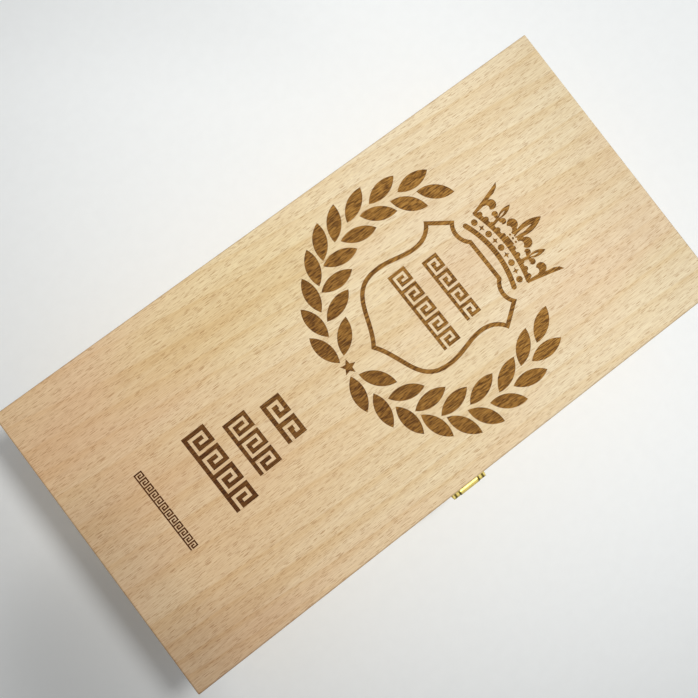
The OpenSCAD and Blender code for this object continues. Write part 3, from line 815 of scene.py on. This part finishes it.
class Shape(Tree):
    """A geometry tree with named inputs."""

    def __init__(self, name, inputs):
        super().__init__(bpy.data.node_groups.new(name, "GeometryNodeTree"))
        face = self.tree.interface
        face.new_socket("Geometry", in_out="INPUT", socket_type="NodeSocketGeometry")
        face.new_socket("Geometry", in_out="OUTPUT", socket_type="NodeSocketGeometry")
        self.identifiers = {}
        for key, kind in inputs.items():
            made = face.new_socket(key, in_out="INPUT", socket_type="NodeSocket" + kind)
            self.identifiers[key] = made.identifier
        self.group = self.tree.nodes.new("NodeGroupInput")

    def given(self, name):
        return Socket(self, self.group.outputs[name])

    def close(self, geometry):
        self.node("NodeGroupOutput", sockets={0: geometry})

    def run(self, points, values, name):
        """Runs the tree on a mesh of points and returns the plain mesh that it makes."""
        work = put_in_scene(name + "_points", points)
        modifier = work.modifiers.new("Shape", "NODES")
        modifier.node_group = self.tree
        for key, value in values.items():
            modifier[self.identifiers[key]] = value
        graph = bpy.context.evaluated_depsgraph_get()
        graph.update()
        mesh = bpy.data.meshes.new_from_object(work.evaluated_get(graph), depsgraph=graph)
        work.modifiers.remove(modifier)
        bpy.data.objects.remove(work)
        if not mesh.polygons:
            raise RuntimeError(f"{name} came out empty")
        mesh.name = name
        return mesh


def screw_tree():
    """Countersunk wood screws with a cross recess and a thread, one on each point."""
    shape = Shape(
        "Countersunk screws",
        {
            "Head Diameter": "Float", "Shank Diameter": "Float", "Length": "Float",
            "Dome Height": "Float", "Thread Pitch": "Float", "Thread Depth": "Float",
            "Cross Length": "Float", "Cross Width": "Float", "Cross Depth": "Float",
            "Facing": "Vector", "Turn Seed": "Int", "Material": "Material",
        },
    )
    given = shape.given
    length = given("Length")
    head_r = given("Head Diameter") * 0.5
    shank_r = given("Shank Diameter") * 0.5
    rod = shape.node(
        "GeometryNodeMeshCylinder",
        {"fill_type": "TRIANGLE_FAN"},
        {"Vertices": 36, "Side Segments": 96, "Fill Segments": 5, "Radius": 1.0, "Depth": length},
    )
    x, y, z = shape.node("GeometryNodeInputPosition").parts()
    rho = (x * x + y * y).root()
    turn = shape.node("ShaderNodeMath", {"operation": "ARCTAN2"}, {0: y, 1: x}) / (2 * math.pi)
    down = length * 0.5 - z
    cone = head_r - down
    thread = (1.0 - (down / given("Thread Pitch") + turn).wave()) * 0.5
    worm = shank_r - given("Thread Depth") * thread
    tip = (length - down) * 0.5 + 0.1 * MM
    radius = cone.most(worm.least(tip))
    top = down.rise(0.01 * MM, 0.0)
    lift = given("Dome Height") * (1.0 - rho * rho) * top
    place = shape.vector(x * radius, y * radius, lift - down)
    turned = shape.node("GeometryNodeSetPosition", sockets={"Geometry": rod, "Position": place})
    arm, slot = given("Cross Length"), given("Cross Width")
    bar_h = 2.0 * given("Cross Depth")
    on_top = shape.vector(0.0, 0.0, given("Dome Height") * 0.6)
    cut = turned
    for bar_x, bar_y in ((arm, slot), (slot, arm)):
        bar = shape.node(
            "GeometryNodeMeshCube", sockets={"Size": shape.vector(bar_x, bar_y, bar_h)}
        )
        bar = shape.node(
            "GeometryNodeTransform", sockets={"Geometry": bar, "Translation": on_top}
        )
        cut = shape.node(
            "GeometryNodeMeshBoolean",
            {"operation": "DIFFERENCE", "solver": "EXACT"},
            {"Mesh 1": cut, "Mesh 2": bar},
        )
    spin = shape.node(
        "FunctionNodeRandomValue",
        {"data_type": "FLOAT"},
        {2: 0.0, 3: math.pi, "Seed": given("Turn Seed")},
        1,
    )
    placed = shape.node(
        "GeometryNodeInstanceOnPoints",
        sockets={"Points": given("Geometry"), "Instance": cut, "Rotation": given("Facing")},
    )
    placed = shape.node(
        "GeometryNodeRotateInstances",
        sockets={"Instances": placed, "Rotation": shape.vector(0.0, 0.0, spin)},
    )
    real = shape.node("GeometryNodeRealizeInstances", sockets={"Geometry": placed})
    shape.close(
        shape.node(
            "GeometryNodeSetMaterial", sockets={"Geometry": real, "Material": given("Material")}
        )
    )
    return shape


class WINEBOX_OT_screws(bpy.types.Operator):
    """Make the screws of the hinges, the clasp and the catch"""

    bl_idname = "wine_box.screws"
    bl_label = "Screws"

    # CAD node, body, and seed for the turn of the heads
    GROUPS = [
        ("hinge_box_screws", "box", 3),
        ("hinge_lid_screws", "lid", 5),
        ("clasp_screws", "lid", 8),
        ("catch_screws", "box", 11),
    ]

    def execute(self, context):
        brass = context.scene.wine_box.brass
        tree = screw_tree()
        for node, body, seed in self.GROUPS:
            boxes = islands(node)
            low, high = boxes[0]
            out = 1 if low.y > 0 else -1
            places = [
                ((a.x + b.x) / 2, b.y if out > 0 else a.y, (a.z + b.z) / 2) for a, b in boxes
            ]
            points = bpy.data.meshes.new(node + "_places")
            points.from_pydata(places, [], [])
            finish = brass_finish("Brass " + node.replace("_", " "), brass, "Z", 0.3)
            mesh = tree.run(
                points,
                {
                    "Head Diameter": high.x - low.x,
                    "Shank Diameter": 2.0 * MM,
                    "Length": high.y - low.y,
                    "Dome Height": brass.dome,
                    "Thread Pitch": brass.thread_pitch,
                    "Thread Depth": brass.thread_depth,
                    "Cross Length": 2.0 * MM,
                    "Cross Width": 0.5 * MM,
                    "Cross Depth": 0.6 * MM,
                    "Facing": (-out * math.pi / 2, 0.0, 0.0),
                    "Turn Seed": seed,
                    "Material": finish,
                },
                node + "_turned",
            )
            soften(mesh, math.radians(38))
            add_piece(node + "_turned", mesh, finish, body, node)
        return {"FINISHED"}


# ---------------------------------------------------------------- stage


class WINEBOX_OT_stage(bpy.types.Operator):
    """Set the floor, the lamp, the surroundings and the camera"""

    bl_idname = "wine_box.stage"
    bl_label = "Stage"

    def execute(self, context):
        stage = context.scene.wine_box.stage
        self.floor(stage)
        self.lamp(stage)
        self.surroundings(context, stage)
        self.camera(context, stage)
        context.scene.view_settings.view_transform = "Standard"
        return {"FINISHED"}

    @staticmethod
    def floor(stage):
        radius = 6.0
        fade_start, fade_end = 0.39, 0.85
        work = bmesh.new()
        bmesh.ops.create_circle(work, cap_ends=True, segments=96, radius=radius)
        mesh = bpy.data.meshes.new("Floor")
        work.to_mesh(mesh)
        work.free()
        floor = put_in_scene("Floor", mesh)
        table = Finish("Pale table")
        x, y, _ = table.place.parts()
        reach = (x * x + y * y).root()
        # Soft shade left of the box and by its left front corner, right of it, and behind it
        dusk = table.patch_round(-0.3, 0.0, 0.12, 0.25) * 0.1 + x.rise(0.12, 0.34) * 0.08
        dusk = dusk + table.patch_round(-0.235, -0.06, 0.075, 0.1) * 0.2
        dusk = dusk + (x * 0.6 + y * 0.8).rise(0.165, 0.25) * x.rise(0.17, 0.05) * 0.07
        mottle = table.noise(table.place * 120.0, 3.0, 0.6)
        colour = table.mix(dusk, tuple(stage.floor), BLACK)
        colour = table.mix(mottle.rise(0.3, 0.7) * 0.04, colour, (0.6, 0.6, 0.6))
        plain = table.node(
            "ShaderNodeBsdfPrincipled",
            sockets={"Base Color": colour, "Roughness": 0.62, **MATT},
        )
        # Far away the table fades into the white surroundings, for the camera and in reflections
        white = table.node("ShaderNodeEmission", sockets={"Color": (*WHITE, 1.0), "Strength": 1.0})
        far = reach.rise(fade_start, fade_end) * table.in_sight()
        shader = table.node("ShaderNodeMixShader", sockets={0: far, 1: plain, 2: white})
        table.node("ShaderNodeOutputMaterial", sockets={"Surface": shader})
        mesh.materials.append(table.material)

    @staticmethod
    def lamp(stage):
        place = Vector((0.21, -0.015, 1.2))
        aim = Vector((0.21, 0.085, 0.0))
        light = bpy.data.lights.new("Key lamp", "SPOT")
        light.energy = stage.key
        light.color = (1.0, 1.0, 0.99)
        light.shadow_soft_size = 0.09
        light.spot_size = math.radians(60)
        light.spot_blend = 0.95
        lamp = put_in_scene("Key lamp", light)
        lamp.location = place
        lamp.rotation_mode = "QUATERNION"
        lamp.rotation_quaternion = (aim - place).to_track_quat("-Z", "Y")

    @staticmethod
    def surroundings(context, stage):
        world = bpy.data.worlds.new("Surroundings")
        world.use_nodes = True
        air = Tree(world.node_tree)
        strength = stage.daylight + air.in_sight() * (1.0 - stage.daylight)
        white = air.node(
            "ShaderNodeBackground", sockets={"Color": (*WHITE, 1.0), "Strength": strength}
        )
        air.node("ShaderNodeOutputWorld", sockets={"Surface": white})
        context.scene.world = world

    @staticmethod
    def camera(context, stage):
        place = (-0.07816, -0.01376, 0.63675)
        right = Vector((0.79422, -0.60244, 0.07925))
        up = Vector((0.59411, 0.79728, 0.10665))
        back = right.cross(up).normalized()
        right.normalize()
        up = back.cross(right).normalized()
        data = bpy.data.cameras.new("Camera")
        data.lens = stage.focal
        data.sensor_width = 36.0
        data.clip_start = 0.01
        camera = put_in_scene("Camera", data)
        turn = Matrix((right, up, back)).transposed().to_4x4()
        camera.matrix_world = Matrix.Translation(place) @ turn
        context.scene.camera = camera


class WINEBOX_PT_maker(bpy.types.Panel):
    """Sizes, colours and makers of the wine box"""

    bl_label = "Wine Box"
    bl_idname = "WINEBOX_PT_maker"
    bl_space_type = "VIEW_3D"
    bl_region_type = "UI"
    bl_category = "Wine Box"

    def draw(self, context):
        settings = context.scene.wine_box
        for group in (settings.wood, settings.engraving, settings.brass, settings.stage):
            box = self.layout.box()
            for key in group.bl_rna.properties.keys():
                if key not in {"rna_type", "name"}:
                    box.prop(group, key)
        for maker in MAKERS:
            self.layout.operator(maker.bl_idname)


MAKERS = [
    WINEBOX_OT_panels, WINEBOX_OT_boards, WINEBOX_OT_racks, WINEBOX_OT_hinges, WINEBOX_OT_clasp,
    WINEBOX_OT_screws, WINEBOX_OT_stage,
]
CLASSES = [
    WoodSettings, EngravingSettings, BrassSettings, StageSettings, BoxSettings, *MAKERS,
    WINEBOX_PT_maker,
]


def register():
    for item in CLASSES:
        bpy.utils.register_class(item)
    bpy.types.Scene.wine_box = bpy.props.PointerProperty(type=BoxSettings)


def unregister():
    del bpy.types.Scene.wine_box
    for item in reversed(CLASSES):
        bpy.utils.unregister_class(item)


def main():
    register()
    for maker in MAKERS:
        group, name = maker.bl_idname.split(".")
        getattr(getattr(bpy.ops, group), name)()


if __name__ == "__main__":
    main()
